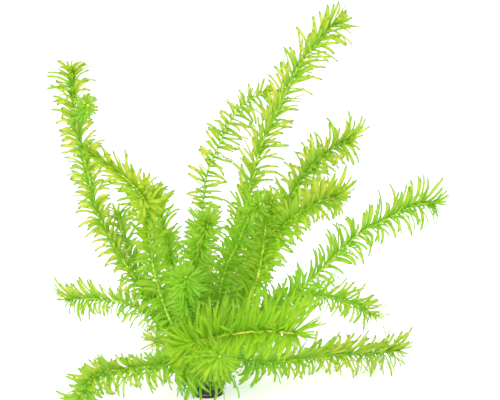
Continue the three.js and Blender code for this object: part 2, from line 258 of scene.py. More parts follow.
def make_pot():
    """The wall as one sheet with its slots left open, with a floor and a rim, thickened inwards."""
    form = bmesh.new()
    rings = [ring_of(form, pot_radius(height), height, POT_STEPS) for height in POT_WALL_ROWS]
    for low, high, lower, upper in zip(POT_WALL_ROWS, POT_WALL_ROWS[1:], rings, rings[1:]):
        for i in range(POT_STEPS):
            j = (i + 1) % POT_STEPS
            if not in_slot(2 * math.pi * (i + 0.5) / POT_STEPS, (low + high) / 2):
                form.faces.new((lower[i], lower[j], upper[j], upper[i]))
    floor_ring = ring_of(form, POT_FLOOR_RING, 0, POT_STEPS)
    add_band(form, floor_ring, rings[0])
    form.faces.new(list(reversed(floor_ring)))
    underside = ring_of(form, RIM_UNDERSIDE_RADIUS, POT_HEIGHT - POT_RIM_THICKNESS, POT_STEPS)
    bead = ring_of(form, POT_RIM_RADIUS, POT_HEIGHT - POT_RIM_THICKNESS / 2, POT_STEPS)
    crown = ring_of(form, RIM_CROWN_RADIUS, POT_HEIGHT, POT_STEPS)
    add_band(form, rings[-1], underside)
    add_band(form, underside, bead)
    add_band(form, bead, crown)
    bmesh.ops.delete(form, geom=[v for v in form.verts if not v.link_faces], context="VERTS")
    pot = object_from(form, "net_pot", pot_material())
    wall = pot.modifiers.new("wall", "SOLIDIFY")
    wall.thickness = POT_WALL
    wall.offset = -1
    wall.use_even_offset = True
    edge = pot.modifiers.new("soft edges", "BEVEL")
    edge.width = SOFT_EDGE_WIDTH
    edge.segments = 2
    edge.limit_method = "ANGLE"
    edge.angle_limit = SOFT_EDGE_LEAST_ANGLE
    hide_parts("pot")
    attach(pot, "root")


make_pot()


# The mineral wool
# A plug of matted spun fibres that fills the pot and grips the foot of every stem. It has gone
# brown and a little green with age. Its side and top are uneven, as torn wool is.
WOOL_BOTTOM = 1.5 * MM
WOOL_TOP = 23.6 * MM
WOOL_CLEARANCE = 0.3 * MM
WOOL_STEPS = 96
WOOL_SIDE_RINGS = 26
WOOL_TOP_RINGS = 12
WOOL_LUMPS_PER_METRE = 260
WOOL_TUFTS_PER_METRE = 800
WOOL_LUMP_SHARE = 0.7
WOOL_TUFT_SHARE = 0.5
WOOL_TOP_ROUGHNESS = 0.9 * MM
WOOL_TOP_SINKING = 0.3 * MM
WOOL_SIDE_ROUGHNESS = 0.45 * MM
WOOL_SIDE_SINKING_SHARE = 0.9
WOOL_EDGE = 0.1 * MM
WOOL_BROWN = (0.17, 0.105, 0.04, 1)
WOOL_TAN = (0.42, 0.3, 0.15, 1)
WOOL_MOSS = (0.07, 0.11, 0.03, 1)


def wool_material():
    """Matted fibres: fine strands in tan and brown with mossy patches, quite without gloss."""
    material, tree = new_material("mineral_wool")
    place = add_node(tree, "ShaderNodeTexCoord").outputs["Object"]
    strands = add_node(tree, "ShaderNodeTexNoise", {
        "Vector": place, "Scale": 620, "Detail": 8, "Roughness": 0.7, "Distortion": 2.5}).outputs["Fac"]
    patches = add_node(tree, "ShaderNodeTexNoise", {"Vector": place, "Scale": 150, "Detail": 3})
    moss = in_range(tree, patches.outputs["Fac"], 0.5, 0.66)
    fibre = mixed(tree, in_range(tree, strands, 0.32, 0.66), WOOL_BROWN, WOOL_TAN)
    show(tree, grainy_shader(
        tree, mixed(tree, moss, fibre, WOOL_MOSS), roughness=0.95, gloss=0.15,
        height=strands, strength=0.9, depth=0.0006))
    return material


def make_wool():
    """A tapered plug whose side and top are roughened by two sizes of noise."""
    form = bmesh.new()
    profile = []
    for row in range(WOOL_SIDE_RINGS):
        height = WOOL_BOTTOM + (WOOL_TOP - WOOL_BOTTOM) * row / (WOOL_SIDE_RINGS - 1)
        profile.append((pot_radius(height) - POT_WALL - WOOL_CLEARANCE, height))
    top_radius = profile[-1][0]
    for row in range(1, WOOL_TOP_RINGS):
        profile.append((top_radius * (1 - row / WOOL_TOP_RINGS), WOOL_TOP))
    rings = [ring_of(form, radius, height, WOOL_STEPS) for radius, height in profile]
    for lower, upper in zip(rings, rings[1:]):
        add_band(form, lower, upper)
    form.faces.new(list(reversed(rings[0])))
    form.faces.new(rings[-1])
    for vertex in form.verts:
        spot = vertex.co.copy()
        lumps = noise.noise(spot * WOOL_LUMPS_PER_METRE)
        tufts = noise.noise(spot * WOOL_TUFTS_PER_METRE)
        rough = WOOL_LUMP_SHARE * lumps + WOOL_TUFT_SHARE * tufts
        if spot.z > WOOL_TOP - WOOL_EDGE:
            vertex.co.z += WOOL_TOP_ROUGHNESS * rough - WOOL_TOP_SINKING
        elif spot.z > WOOL_BOTTOM + WOOL_EDGE:
            inwards = Vector((-spot.x, -spot.y, 0)).normalized()
            vertex.co += inwards * (WOOL_SIDE_ROUGHNESS * (rough + WOOL_SIDE_SINKING_SHARE))
    wool = object_from(form, "wool_plug_fibres", wool_material())
    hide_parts("wool_plug")
    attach(wool, "root")


make_wool()


# The leafy shoots
# Each shoot is one thin yellow-green stem with whorls of five to ten narrow leaves, which are crowded
# in the bud and a few millimetres apart below it. A leaf is thin, folded a little along its midrib
# and bent back towards its tip, pale inside and greener along its edges and at both ends.
LEAF_SIDES = 4
LEAF_STEPS = 7
LEAF_THICKNESS = 0.26 * MM
LEAF_OUTLINE = [(0, 0.8), (0.2, 0.9), (0.5, 1), (0.78, 0.97), (0.92, 0.8), (1, 0.22)]
LEAF_FOLD = 0.32
LEAF_SHARP_EDGE = 0.9
LEAF_TIP_CROWDING = 1.3
LEAF_SEAT = 0.55
LOWEST_LEAF = 0.15 * MM
STEM_STEP = 1.2 * MM
STEM_SIDES = 8
NODE_SWELL = 0.22
NODE_RING = (0.08, 0.3)
LIGHT_SIDE = (0, -0.85, 0.5)
LIT_LEAF = 0.7
BUD_GAP = 1.2 * MM

# How far single leaves differ by chance, in radians or as shares of their size
TURN_SPREAD = 0.22
LENGTH_SPREAD = (0.74, 1.24)
WIDTH_SPREAD = (0.85, 1.12)
LEAN_SPREAD = 0.28
CURL_SPREAD = 0.4
TWIST_SPREAD = 0.6
SWAY_SPREAD = 0.13

# How leaves differ by their place on the shoot, in radians or as shares
WHORL_TURN = 0.53
LENGTH_AT_TIP = 1.1
LENGTH_AT_FOOT = 0.8
UPPER_LEAN = -0.3
OLD_LEAN = 0.5
# Old leaves near the foot get more of the shade green: partly their deeper tone, partly painted shade
OLD_SHADE = 0.4
BUD_CURL = 0.5
BUD_WIDTH = 0.8
BUD_ROLL = 0.3
BUD_FRESHNESS = 0.6

LEAF_PALE = (0.82, 0.84, 0.2, 1)
LEAF_GREEN = (0.54, 0.72, 0.01, 1)
# The deep green at a leaf's base is partly its own deeper base, partly painted shade round the stem
LEAF_DEEP = (0.23, 0.72, 0.02, 1)
LEAF_RIM = (0.31, 0.61, 0.012, 1)
LEAF_TIP = (0.14, 0.44, 0.012, 1)
LEAF_FRESH = (0.58, 0.77, 0.01, 1)
# The shade green is partly the deeper tone of old leaves and partly painted shade deep in the bunch
LEAF_SHADE = (0.25, 0.69, 0.04, 1)
# The core colour is a brighter green painted near the middle of the bunch, as painted fill light there
LEAF_CORE_PAINTED_FILL = (0.45, 0.83, 0.05, 1)
CORE_CENTRE = (0.03, -0.01, 0.09)
CORE_REACH = (0.05, 0.14)
CORE_FILL_SHARE = 0.42
VEIN_STRETCH = (5, 1.5, 40)
THROUGH_LIGHT = 0.75
STEM_GREEN = (0.26, 0.58, 0.03, 1)
NODE_YELLOW = (0.85, 0.75, 0.08, 1)
LEAST_YELLOW = 0.04
FRESH_YELLOW = 0.45

# The inputs of the Geometry Nodes, in metres, radians and shares, with the values of a usual shoot
SHOOT_SIZES = {
    "Foot Radius": 1.3 * MM, "Tip Radius": 0.9 * MM, "Bare Length": 16 * MM,
    "Whorl Pitch": 5.0 * MM, "Bud Whorls": 4.0, "Leaves per Whorl": 5, "Missing Share": 0.05,
    "Leaf Length": 20 * MM, "Leaf Width": 3.4 * MM, "Open Lean": 0.6, "Curl": 0.95,
    "Bud Lean": 0.7, "Bud Leaf Share": 0.46, "Growing Length": 10 * MM, "Opening Length": 16 * MM,
    "Roll": 0.5, "Light Turn": 0.65, "Upper Gain": 0.25, "Underside Curl": 0.2, "Parting": 0.0,
    "Old Length": 35 * MM, "Old Gain": 0.0, "Old Droop": 0.8, "Freshness": 0.0, "Shade": 0.0, "Seed": 0}


def leaf_material():
    """A thin wet blade, pale inside and greener at its edges, base and tip, with fine veins along it.
    The attribute blade is (across -1 to 1, face, along 0 to 1), and growth is
    (the leaf's own number, its share of the shade green, how fresh it is). The shade green is partly
    the deeper tone of old leaves and partly painted shade on shoots deep in the bunch."""
    material, tree = new_material("waterweed_leaf")
    blade = add_node(tree, "ShaderNodeAttribute", attribute_name="blade").outputs["Vector"]
    growth = add_node(tree, "ShaderNodeAttribute", attribute_name="growth").outputs["Vector"]
    blade_parts = add_node(tree, "ShaderNodeSeparateXYZ", {0: blade}).outputs
    growth_parts = add_node(tree, "ShaderNodeSeparateXYZ", {0: growth}).outputs
    across = blade_parts["X"]
    along = blade_parts["Z"]
    edge = add_node(tree, "ShaderNodeMath", {0: across}, operation="ABSOLUTE").outputs[0]
    rim = in_range(tree, edge, 0.55, 1, 0, 0.75)
    # Near its base, where the leaves crowd round the stem, the blade is darker green, partly painted shade
    clasp = in_range(tree, along, 0.15, 0.42, 0.66, 0)
    point = in_range(tree, along, 0.72, 0.96, 0, 0.9)

    # Fine veins run along the blade, which is palest near its base
    on_leaf = add_node(tree, "ShaderNodeCombineXYZ", {"X": across, "Y": along, "Z": growth_parts["X"]})
    stretched = add_node(tree, "ShaderNodeVectorMath", {0: on_leaf.outputs[0], 1: VEIN_STRETCH},
                         operation="MULTIPLY").outputs[0]
    veins = add_node(tree, "ShaderNodeTexNoise", {
        "Vector": stretched, "Scale": 1.6, "Detail": 3}).outputs["Fac"]
    streak = in_range(tree, veins, 0.3, 0.7, -0.22, 0.22)
    paleness = add_node(tree, "ShaderNodeMath", {0: in_range(tree, along, 0.2, 0.95, 1, 0.5), 1: streak},
                        operation="ADD", use_clamp=True).outputs[0]

    # Some leaves are greener by chance, some by their shoot and age, and some by their place in the bunch.
    # The green by shoot and age is partly old leaves' deeper tone and partly painted shade deep in the
    # bunch
    own_shade = in_range(tree, growth_parts["X"], 0.5, 0.8, 0, 0.4)
    shaded = add_node(tree, "ShaderNodeMath", {0: own_shade, 1: growth_parts["Y"]},
                      operation="ADD", use_clamp=True).outputs[0]
    # Near the middle of the bunch a brighter green is painted: painted fill light that lifts the shade
    place = add_node(tree, "ShaderNodeTexCoord").outputs["Object"]
    outwards = add_node(tree, "ShaderNodeVectorMath", {0: place, 1: CORE_CENTRE}, operation="DISTANCE")
    painted_fill = in_range(tree, outwards.outputs["Value"], *CORE_REACH, CORE_FILL_SHARE, 0,
                    interpolation_type="SMOOTHSTEP")

    colour = mixed(tree, paleness, LEAF_GREEN, LEAF_PALE)
    for share, tone in ((clasp, LEAF_DEEP), (rim, LEAF_RIM), (growth_parts["Z"], LEAF_FRESH),
                        (point, LEAF_TIP), (shaded, LEAF_SHADE), (painted_fill, LEAF_CORE_PAINTED_FILL)):
        colour = mixed(tree, share, colour, tone)
    front = grainy_shader(tree, colour, roughness=0.42, gloss=0.25,
                          height=veins, strength=0.3, depth=0.0001)
    glow = add_node(tree, "ShaderNodeBsdfTranslucent", {"Color": colour})
    show(tree, add_node(tree, "ShaderNodeMixShader", {
        0: THROUGH_LIGHT, 1: front.outputs[0], 2: glow.outputs[0]}))
    return material


def stem_material():
    """A smooth juicy stem, green with a fine mottle, and yellow where its attribute yellow_share says."""
    material, tree = new_material("waterweed_stem")
    yellow_share = add_node(tree, "ShaderNodeAttribute", attribute_name="yellow_share").outputs["Fac"]
    place = add_node(tree, "ShaderNodeTexCoord").outputs["Object"]
    mottle = add_node(tree, "ShaderNodeTexNoise", {
        "Vector": place, "Scale": 700, "Detail": 4}).outputs["Fac"]
    yellow = add_node(tree, "ShaderNodeMath", {0: yellow_share, 1: mottle, 2: LEAST_YELLOW},
                      operation="MULTIPLY_ADD", use_clamp=True).outputs[0]
    show(tree, grainy_shader(
        tree, mixed(tree, yellow, STEM_GREEN, NODE_YELLOW), roughness=0.55, gloss=0.2,
        height=mottle, strength=0.25, depth=0.0001))
    return material


def set_curve(mapping, points):
    """Gives a curve node the shape that runs through the points, from 0 to 1."""
    line = mapping.curves[0].points
    while len(line) < len(points):
        line.new(0.5, 0.5)
    for point, place in zip(line, points):
        point.location = place
    mapping.update()


def shoot_tree(leaf, stem):
    """Geometry Nodes that grow one shoot along a route, from its foot to its tip."""
    tree = bpy.data.node_groups.new("leafy_shoot", "GeometryNodeTree")
    tree.interface.new_socket("Shoot", in_out="OUTPUT", socket_type="NodeSocketGeometry")
    tree.interface.new_socket("Route", in_out="INPUT", socket_type="NodeSocketGeometry")
    for name, value in SHOOT_SIZES.items():
        kind = "NodeSocketInt" if isinstance(value, int) else "NodeSocketFloat"
        tree.interface.new_socket(name, in_out="INPUT", socket_type=kind).default_value = value
    given = tree.nodes.new("NodeGroupInput").outputs

    def calc(operation, *values):
        return add_node(tree, "ShaderNodeMath", dict(enumerate(values)), operation=operation).outputs[0]

    def plus(first, *others):
        for other in others:
            first = calc("ADD", first, other)
        return first

    def product(first, *others):
        for other in others:
            first = calc("MULTIPLY", first, other)
        return first

    def vector(operation, *values):
        node = add_node(tree, "ShaderNodeVectorMath", dict(enumerate(values)), operation=operation)
        return node.outputs[0]

    def scaled(value, factor):
        node = add_node(tree, "ShaderNodeVectorMath", {0: value, "Scale": factor}, operation="SCALE")
        return node.outputs[0]

    def total(first, *others):
        for other in others:
            first = vector("ADD", first, other)
        return first

    def parts(value):
        return add_node(tree, "ShaderNodeSeparateXYZ", {0: value}).outputs

    def joined(x, y, z):
        return add_node(tree, "ShaderNodeCombineXYZ", {0: x, 1: y, 2: z}).outputs[0]

    def lit(value):
        """How far a direction points to the side that the light comes from."""
        node = add_node(tree, "ShaderNodeVectorMath", {0: value, 1: LIGHT_SIDE}, operation="DOT_PRODUCT")
        return node.outputs["Value"]

    def between(share, low, high):
        """From low to high as share goes from 0 to 1, and no further."""
        return in_range(tree, share, 0, 1, low, high)

    def chance(low, high, draw):
        """A number from low to high for each leaf, which changes with the shoot's seed and the draw."""
        seed = plus(given["Seed"], draw)
        picked = add_node(tree, "FunctionNodeRandomValue", {2: low, 3: high, "Seed": seed},
                          data_type="FLOAT")
        return picked.outputs[1]

    def stored(geometry, name, value, kind, domain):
        """The geometry with one more attribute."""
        node = add_node(tree, "GeometryNodeStoreNamedAttribute", {
            "Geometry": geometry, "Name": name, "Value": value}, data_type=kind, domain=domain)
        return node.outputs[0]

    def blade_facing(along, out, lean):
        """The way that the upper face of a blade looks, which leans by this angle from the stem."""
        return total(scaled(along, calc("SINE", lean)), scaled(out, product(-1, calc("COSINE", lean))))

    def finished(mesh, material):
        """The mesh shaded smooth and with its material."""
        smooth = add_node(tree, "GeometryNodeSetShadeSmooth", {"Geometry": mesh}).outputs[0]
        dressed = add_node(tree, "GeometryNodeSetMaterial", {"Geometry": smooth, "Material": material})
        return dressed.outputs[0]

    # Whorl k stands at pitch * (sqrt(k^2 + bud^2) - bud) from the tip: close in the bud, then evenly apart
    pitch = given["Whorl Pitch"]
    bud = given["Bud Whorls"]
    bud_squared = product(bud, bud)
    length = add_node(tree, "GeometryNodeCurveLength", {0: given["Route"]}).outputs[0]

    def whorl_at(from_tip):
        reach = plus(calc("DIVIDE", from_tip, pitch), bud)
        excess = calc("SUBTRACT", product(reach, reach), bud_squared)
        return calc("SQRT", calc("MAXIMUM", 0, excess))

    per_whorl = given["Leaves per Whorl"]
    whorls = calc("FLOOR", whorl_at(calc("SUBTRACT", length, given["Bare Length"])))
    leaf_points = add_node(tree, "GeometryNodePoints", {0: product(whorls, per_whorl)}).outputs[0]
    index = add_node(tree, "GeometryNodeInputIndex").outputs[0]
    whorl = calc("FLOOR", calc("DIVIDE", index, per_whorl))
    place_in_whorl = calc("SUBTRACT", index, product(whorl, per_whorl))
    root_sum = calc("SQRT", plus(product(whorl, whorl), bud_squared))
    from_tip = plus(product(pitch, calc("SUBTRACT", root_sum, bud)), chance(BUD_GAP, 2 * BUD_GAP, 1))
    spot = add_node(tree, "GeometryNodeSampleCurve", {
        "Curves": given["Route"], "Length": calc("SUBTRACT", length, from_tip)}, mode="LENGTH")
    along = spot.outputs["Tangent"]
    across = spot.outputs["Normal"]
    aside = vector("CROSS_PRODUCT", along, across)
    step = calc("DIVIDE", 2 * math.pi, per_whorl)
    turn = product(step, plus(place_in_whorl, product(whorl, WHORL_TURN)))
    turn = plus(turn, chance(-TURN_SPREAD, TURN_SPREAD, 2))
    out = total(scaled(across, calc("COSINE", turn)), scaled(aside, calc("SINE", turn)))

    # The form of each leaf: short and narrow in the bud, full-grown below it, and bent most near the foot
    opened = in_range(tree, from_tip, 0, given["Opening Length"], interpolation_type="SMOOTHSTEP")
    grown = between(calc("DIVIDE", from_tip, given["Growing Length"]), given["Bud Leaf Share"], 1)
    upwards = parts(out)["Z"]
    from_tip_share = calc("DIVIDE", from_tip, length)
    old_end = plus(given["Bare Length"], given["Old Length"])
    old = in_range(tree, calc("SUBTRACT", length, from_tip), given["Bare Length"], old_end, 1, 0)
    leaf_length = product(
        given["Leaf Length"], grown, chance(*LENGTH_SPREAD, 3),
        plus(1, product(upwards, given["Upper Gain"])), plus(1, product(old, given["Old Gain"])),
        between(from_tip_share, LENGTH_AT_TIP, LENGTH_AT_FOOT))
    lean = plus(
        between(opened, given["Bud Lean"], given["Open Lean"]), chance(-LEAN_SPREAD, LEAN_SPREAD, 4),
        product(upwards, UPPER_LEAN), product(old, OLD_LEAN))
    curl = plus(
        given["Curl"], product(given["Underside Curl"], upwards, -1),
        chance(-CURL_SPREAD, CURL_SPREAD, 5), product(old, given["Old Droop"]))
    curl = product(curl, between(opened, BUD_CURL, 1))
    leaf_width = product(given["Leaf Width"], between(opened, BUD_WIDTH, 1), chance(*WIDTH_SPREAD, 6))
    stem_radius = between(from_tip_share, given["Tip Radius"], given["Foot Radius"])
    root = total(spot.outputs["Position"], scaled(out, product(stem_radius, LEAF_SEAT)))

    # A leaf turns its face towards the light, some more and some less
    side = vector("CROSS_PRODUCT", along, out)
    facing = blade_facing(along, out, lean)
    to_light = calc("ARCTAN2", product(-1, lit(side)), lit(facing))
    roll = plus(product(given["Light Turn"], to_light), product(given["Roll"], chance(-1, 1, 11)))
    roll = product(roll, between(opened, BUD_ROLL, 1))
    form = joined(leaf_length, lean, curl)
    bend = joined(leaf_width, chance(-TWIST_SPREAD, TWIST_SPREAD, 7), chance(-SWAY_SPREAD, SWAY_SPREAD, 8))
    # The shade green by shoot and age is partly painted shade on shoots and old leaves deep in the bunch
    shade = plus(given["Shade"], product(old, OLD_SHADE))
    fresh = calc("MAXIMUM", given["Freshness"], between(opened, BUD_FRESHNESS, 0))
    growth = joined(chance(0, 1, 9), shade, fresh)

    # Every leaf starts as the same closed four-sided rod along Z, of length and radius 1
    rod = add_node(tree, "GeometryNodeMeshCylinder", {
        "Vertices": LEAF_SIDES, "Side Segments": LEAF_STEPS, "Radius": 1, "Depth": 1})
    position = add_node(tree, "GeometryNodeInputPosition").outputs[0]
    on_blade = stored(rod.outputs["Mesh"], "blade", vector("ADD", position, (0, 0, 0.5)),
                      "FLOAT_VECTOR", "POINT")
    at_edge = calc("GREATER_THAN", calc("ABSOLUTE", parts(position)["X"]), LEAF_SHARP_EDGE)
    sharp = stored(on_blade, "sharp_edge", at_edge, "BOOLEAN", "EDGE")

    # A few leaves are missing, and where the shoot is parted, also some of those in front of its stem
    hides_stem = calc("GREATER_THAN", lit(out), LIT_LEAF)
    missing = plus(given["Missing Share"], product(given["Parting"], hides_stem))
    kept = add_node(tree, "GeometryNodeCaptureAttribute", {"Geometry": leaf_points}, domain="POINT")
    held = {"root": root, "along": along, "out": out, "form": form, "bend": bend,
            "roll": joined(roll, 0, 0)}
    for name in held:
        kept.capture_items.new("VECTOR", name)
    for name, value in held.items():
        tree.links.new(value, kept.inputs[name])
    marked = stored(kept.outputs["Geometry"], "growth", growth, "FLOAT_VECTOR", "POINT")
    thinned = add_node(tree, "GeometryNodeInstanceOnPoints", {
        "Points": marked, "Instance": sharp, "Selection": calc("GREATER_THAN", chance(0, 1, 10), missing)})
    blades = add_node(tree, "GeometryNodeRealizeInstances", {0: thinned.outputs[0]}).outputs[0]

    # Every blade is bent along an arc in the plane of the stem and its own direction
    root, along, out = (kept.outputs[name] for name in ("root", "along", "out"))
    leaf_length, lean, curl = (parts(kept.outputs["form"])[i] for i in range(3))
    leaf_width, twist, sway = (parts(kept.outputs["bend"])[i] for i in range(3))
    blade = add_node(tree, "GeometryNodeInputNamedAttribute", {"Name": "blade"}, data_type="FLOAT_VECTOR")
    across_share, face_share, share = (parts(blade.outputs[0])[i] for i in range(3))
    share = calc("SUBTRACT", 1, calc("POWER", calc("SUBTRACT", 1, share), LEAF_TIP_CROWDING))
    half = product(curl, share, 0.5)
    shortening = calc("SUBTRACT", 1, calc("DIVIDE", product(half, half), 6))
    chord = product(leaf_length, share, shortening)
    chord_lean = plus(lean, half)
    centre = total(root, scaled(out, product(chord, calc("SINE", chord_lean))),
                   scaled(along, product(chord, calc("COSINE", chord_lean))))
    side = vector("CROSS_PRODUCT", along, out)
    facing = blade_facing(along, out, plus(lean, product(curl, share)))
    twisted = plus(parts(kept.outputs["roll"])["X"], product(twist, share))
    side_turned = total(scaled(side, calc("COSINE", twisted)), scaled(facing, calc("SINE", twisted)))
    facing_turned = total(scaled(facing, calc("COSINE", twisted)),
                          scaled(side, product(-1, calc("SINE", twisted))))

    # Its width follows the outline of a leaf, with a fold along the midrib, and no leaf dips into the floor
    outline = add_node(tree, "ShaderNodeFloatCurve", {"Value": share})
    set_curve(outline.mapping, LEAF_OUTLINE)
    half_width = product(leaf_width, 0.5, outline.outputs[0])
    swayed = product(product(sway, leaf_length), product(share, share))
    sideways = plus(product(across_share, half_width), swayed)
    fold = product(calc("ABSOLUTE", across_share), LEAF_FOLD, half_width)
    thickness = product(face_share, LEAF_THICKNESS / 2, outline.outputs[0])
    bent = parts(total(centre, scaled(side_turned, sideways), scaled(facing_turned, plus(fold, thickness))))
    floor_height = plus(LOWEST_LEAF + LEAF_THICKNESS / 2, thickness)
    lifted = joined(bent["X"], bent["Y"], calc("MAXIMUM", bent["Z"], floor_height))
    leaves = add_node(tree, "GeometryNodeSetPosition", {"Geometry": blades, "Position": lifted}).outputs[0]

    # The stem: a round rod that thins towards its tip and swells a little at each whorl
    line = add_node(tree, "GeometryNodeResampleCurve", {"Curve": given["Route"], "Length": STEM_STEP},
                    mode="LENGTH").outputs[0]
    covered = add_node(tree, "GeometryNodeSplineParameter").outputs["Length"]
    from_tip = calc("SUBTRACT", length, covered)
    whorl = whorl_at(from_tip)
    off_whorl = calc("ABSOLUTE", calc("SUBTRACT", whorl, calc("ROUND", whorl)))
    ring = in_range(tree, off_whorl, *NODE_RING, 1, 0, interpolation_type="SMOOTHSTEP")
    leafy = calc("LESS_THAN", from_tip, calc("SUBTRACT", length, given["Bare Length"]))
    ring = product(ring, leafy)

    # It is yellow at its whorls, and all along where the shoot is fresh, but green along its old part
    young = in_range(tree, covered, given["Bare Length"], old_end)
    yellow_share = product(plus(ring, product(given["Freshness"], FRESH_YELLOW)), young)
    ringed = stored(line, "yellow_share", yellow_share, "FLOAT", "POINT")
    thick = between(calc("DIVIDE", from_tip, length), given["Tip Radius"], given["Foot Radius"])
    thick = product(thick, plus(1, product(ring, NODE_SWELL)))
    section = add_node(tree, "GeometryNodeCurvePrimitiveCircle", {"Resolution": STEM_SIDES, "Radius": 1})
    rod = add_node(tree, "GeometryNodeCurveToMesh", {
        "Curve": ringed, "Profile Curve": section.outputs[0], "Scale": thick, "Fill Caps": True}).outputs[0]

    whole = add_node(tree, "GeometryNodeJoinGeometry", {0: finished(rod, stem)})
    tree.links.new(finished(leaves, leaf), whole.inputs[0])
    output = tree.nodes.new("NodeGroupOutput")
    tree.links.new(whole.outputs[0], output.inputs["Shoot"])
    return tree


shoot_nodes = shoot_tree(leaf_material(), stem_material())

# The upright foot of every stem, in millimetres as the routes are
FOOT_HEIGHT = 13
BEND_START = 24.6
OPENING_BY_GROWING = 1.6


def route_curve(name, points):
    """A smooth curve through the points, with the same handles as a centripetal spline."""
    curve = bpy.data.curves.new(name, "CURVE")
    curve.dimensions = "3D"
    curve.resolution_u = 16
    spline = curve.splines.new("BEZIER")
    spline.bezier_points.add(len(points) - 1)
    neighbours = [2 * points[0] - points[1], *points, 2 * points[-1] - points[-2]]
    for i, point in enumerate(points):
        before, after = neighbours[i], neighbours[i + 2]
        near = (point - before).length ** 0.5
        far = (after - point).length ** 0.5
        slope = (point - before) / near - (after - before) / (near + far) + (after - point) / far
        bezier = spline.bezier_points[i]
        bezier.co = point
        bezier.handle_left = point - slope * near / 3
        bezier.handle_right = point + slope * far / 3
    return curve


def stand_foot(spline, low):
    """Adds a first point at low, straight under the point where the stem starts to bend."""
    spline.bezier_points.add(1)
    for i in range(len(spline.bezier_points) - 1, 0, -1):
        for part in ("co", "handle_left", "handle_right"):
            setattr(spline.bezier_points[i], part, getattr(spline.bezier_points[i - 1], part).copy())
    start, bend = spline.bezier_points[0], spline.bezier_points[1]
    start.co = low
    start.handle_left = low
    start.handle_right = low.lerp(bend.co, 1 / 3)
    bend.handle_left = low.lerp(bend.co, 2 / 3)


def grow(name, foot, route, leaf, width, pitch, per_whorl=5, bud=4.0, lean=0.6, curl=0.95, roll=0.5,
         bare=16, droop=0.8, growing=10, fresh=0.0, shade=0.0, upper=0.25, old=0.0, old_part=35,
         bud_lean=0.7, parting=0.0):
    """Grows one shoot: its stem stands upright in the wool at foot, and then follows the route.
    Lengths are in millimetres and angles in radians.
    leaf, width, pitch: a full leaf's length and width, and the space between whorls
    per_whorl, bud: leaves in a whorl, and about how many whorls are crowded at the tip
    lean, curl, roll: a leaf's angle to the stem, its bend, and how far by chance its face is turned
    bare, old_part, growing: the lengths of stem without leaves, with old ones, and with young ones
    old, droop: how much longer the old leaves are, as a share, and how much more they bend
    upper, bud_lean: how much longer the leaves on top are, as a share, and the angle of those in the bud
    fresh, shade: shares of the yellower and the greener tone of the leaves; the greener tone is partly
    painted shade on shoots deep in the bunch
    parting: the share of leaves left out on the side of the light, so that the stem shows"""
    points = [Vector(point) * MM for point in route]
    if foot:
        points.insert(0, Vector((*foot, BEND_START)) * MM)
    line = bpy.data.objects.new(name + "_route", route_curve(name, points))
    bpy.context.scene.collection.objects.link(line)
    if foot:
        stand_foot(line.data.splines[0], Vector((*foot, FOOT_HEIGHT)) * MM)
    modifier = line.modifiers.new("shoot", "NODES")
    modifier.node_group = shoot_nodes
    sockets = {item.name: item.identifier for item in shoot_nodes.interface.items_tree}
    sizes = {
        "Leaf Length": leaf * MM, "Leaf Width": width * MM, "Whorl Pitch": pitch * MM,
        "Leaves per Whorl": per_whorl, "Bud Whorls": bud, "Open Lean": lean, "Curl": curl, "Roll": roll,
        "Bare Length": bare * MM, "Old Droop": droop, "Growing Length": growing * MM,
        "Opening Length": OPENING_BY_GROWING * growing * MM, "Freshness": fresh, "Shade": shade,
        "Upper Gain": upper, "Old Gain": old, "Old Length": old_part * MM, "Bud Lean": bud_lean,
        "Parting": parting, "Seed": sum(map(ord, name))}
    for size, value in sizes.items():
        modifier[sockets[size]] = value
    bpy.context.view_layer.update()
    mesh = bpy.data.meshes.new_from_object(line.evaluated_get(bpy.context.evaluated_depsgraph_get()))
    bpy.data.objects.remove(line)
    shoot = bpy.data.objects.new(name + "_leaves", mesh)
    bpy.context.scene.collection.objects.link(shoot)
    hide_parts(name)
    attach(shoot, "root")


# The shoots at the left: a tall one with a side shoot, one that arches over towards the front,
# three shorter ones, and one that bends down to the ground.
grow("tall_left_shoot", (-4.8, 0), [
    (-11, -1, 36), (-22, -1, 50), (-35, 0, 69), (-57, 2, 96), (-74, 4, 124), (-93, 8, 160),
    (-101, 8, 198), (-109, 8, 232), (-111.5, 8, 262), (-112, 8, 283.5)],
     leaf=19.5, width=2.7, pitch=3.7, per_whorl=6, lean=0.55, curl=1.1, upper=0, old=-0.15, old_part=110)
grow("side_shoot", None, [(-108, 5, 240), (-105, -1, 245), (-101, -9, 250), (-96, -20, 258)],
     leaf=12, width=2.3, pitch=3, bare=2, shade=0.22)
grow("arching_left_shoot", (-7.2, -4.2), [
    (-14, -8, 41), (-26, -12, 60), (-36, -14, 85), (-43, -14, 111), (-47, -15, 138), (-48, -22, 159),
    (-47, -42, 178), (-51, -58, 192), (-62, -68, 207), (-75, -74, 219), (-85, -78, 228)],
     leaf=23, width=2.7, pitch=4.5, per_whorl=6, lean=0.5, curl=0.6, growing=40, fresh=0.4,
     old=-0.3, old_part=140, bud_lean=0.1)
grow("short_left_shoot", (-7.2, 4.2), [
    (-17, 6, 43), (-37, 11, 73), (-53, 14, 94), (-66, 15, 121), (-73, 13, 142), (-76, 10, 160)],
     leaf=16, width=2.2, pitch=4.4, fresh=0.1, shade=0.3)
grow("rear_left_shoot", (-2.4, 4.2), [
    (-8, 9, 41), (-21, 20, 74), (-31, 32, 110), (-39, 38, 140), (-45, 40, 160), (-47, 40, 174)],
     leaf=18, width=2.4, pitch=3.6, per_whorl=6, fresh=0.4, shade=0.1, old=-0.3, old_part=110)
grow("left_shoot", (-9.6, 0), [
    (-17, 3, 36), (-26, 6, 50), (-41, 8, 63), (-58, 10, 73), (-75, 10, 80), (-93, 8, 83),
    (-108, 6, 84), (-121.5, 4.5, 84)],
     leaf=20, width=2.3, pitch=4.2, per_whorl=6, lean=0.85, curl=0.7, shade=0.1)
